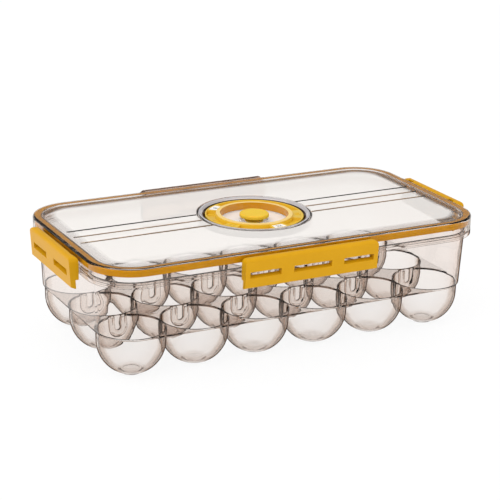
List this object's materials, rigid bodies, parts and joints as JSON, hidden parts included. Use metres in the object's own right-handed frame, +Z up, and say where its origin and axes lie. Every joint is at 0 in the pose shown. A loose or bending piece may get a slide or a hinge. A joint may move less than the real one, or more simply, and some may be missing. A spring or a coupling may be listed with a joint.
{
  "type": "egg storage box",
  "caption": "Long clear egg keeper: tray of round egg cups under a clear lid with a soft seal, swinging side clips, and a sunk turning date dial round a pull-up vent knob.",
  "frame": {"origin": "centre of the box's plan, on the surface that its feet stand on", "axes": "+X along the box, +Y from the front clip to the back clip, +Z up"},
  "size_m": [0.3206, 0.1792, 0.0859],
  "materials": {
    "clear_tray": "clear moulded plastic with a faint warm grey tint, polished",
    "clear_lid": "clear moulded plastic, polished",
    "clear_bezel": "clear moulded plastic, polished",
    "amber_seal": "soft amber silicone, satin",
    "yellow_clip": "moulded plastic, satin",
    "clear_clip": "clear moulded plastic with a warm grey tint, polished",
    "yellow_dial": "moulded plastic, satin",
    "yellow_plug": "soft silicone, matt",
    "white_card": "thin white plastic sheet, printed"
  },
  "bodies": {
    "tray": {"tray_body": "clear_tray"},
    "lid": {"lid_shell": "clear_lid", "lid_gasket": "amber_seal", "dial_bezel": "clear_bezel", "number_ring": "white_card"},
    "front_clip": {"front_clip": "yellow_clip"},
    "back_clip": {"back_clip": "clear_clip"},
    "left_clip": {"left_clip": "yellow_clip"},
    "right_clip": {"right_clip": "yellow_clip"},
    "dial": {"date_dial": "yellow_dial"},
    "vent": {"vent_plug": "yellow_plug"}
  },
  "joints": [
    {"name": "lid_lift", "type": "slide", "parent": "tray", "child": "lid", "axis": [0, 0, 1], "range_m": [0, 0.09]},
    {"name": "front_clip_swing", "type": "hinge", "parent": "lid", "child": "front_clip", "pos_m": [0, -0.08615, 0.0814], "axis": [-1, 0, 0], "range_deg": [0, 105]},
    {"name": "back_clip_swing", "type": "hinge", "parent": "lid", "child": "back_clip", "pos_m": [0, 0.08615, 0.0814], "axis": [1, 0, 0], "range_deg": [0, 105]},
    {"name": "left_clip_swing", "type": "hinge", "parent": "lid", "child": "left_clip", "pos_m": [-0.15685, 0, 0.0814], "axis": [0, 1, 0], "range_deg": [0, 105]},
    {"name": "right_clip_swing", "type": "hinge", "parent": "lid", "child": "right_clip", "pos_m": [0.15685, 0, 0.0814], "axis": [0, -1, 0], "range_deg": [0, 105]},
    {"name": "dial_turn", "type": "hinge", "parent": "lid", "child": "dial", "pos_m": [0, 0, 0.082], "axis": [0, 0, 1], "continuous": true},
    {"name": "vent_pull", "type": "slide", "parent": "lid", "child": "vent", "axis": [0, 0, 1], "range_m": [0, 0.003]}
  ]
}
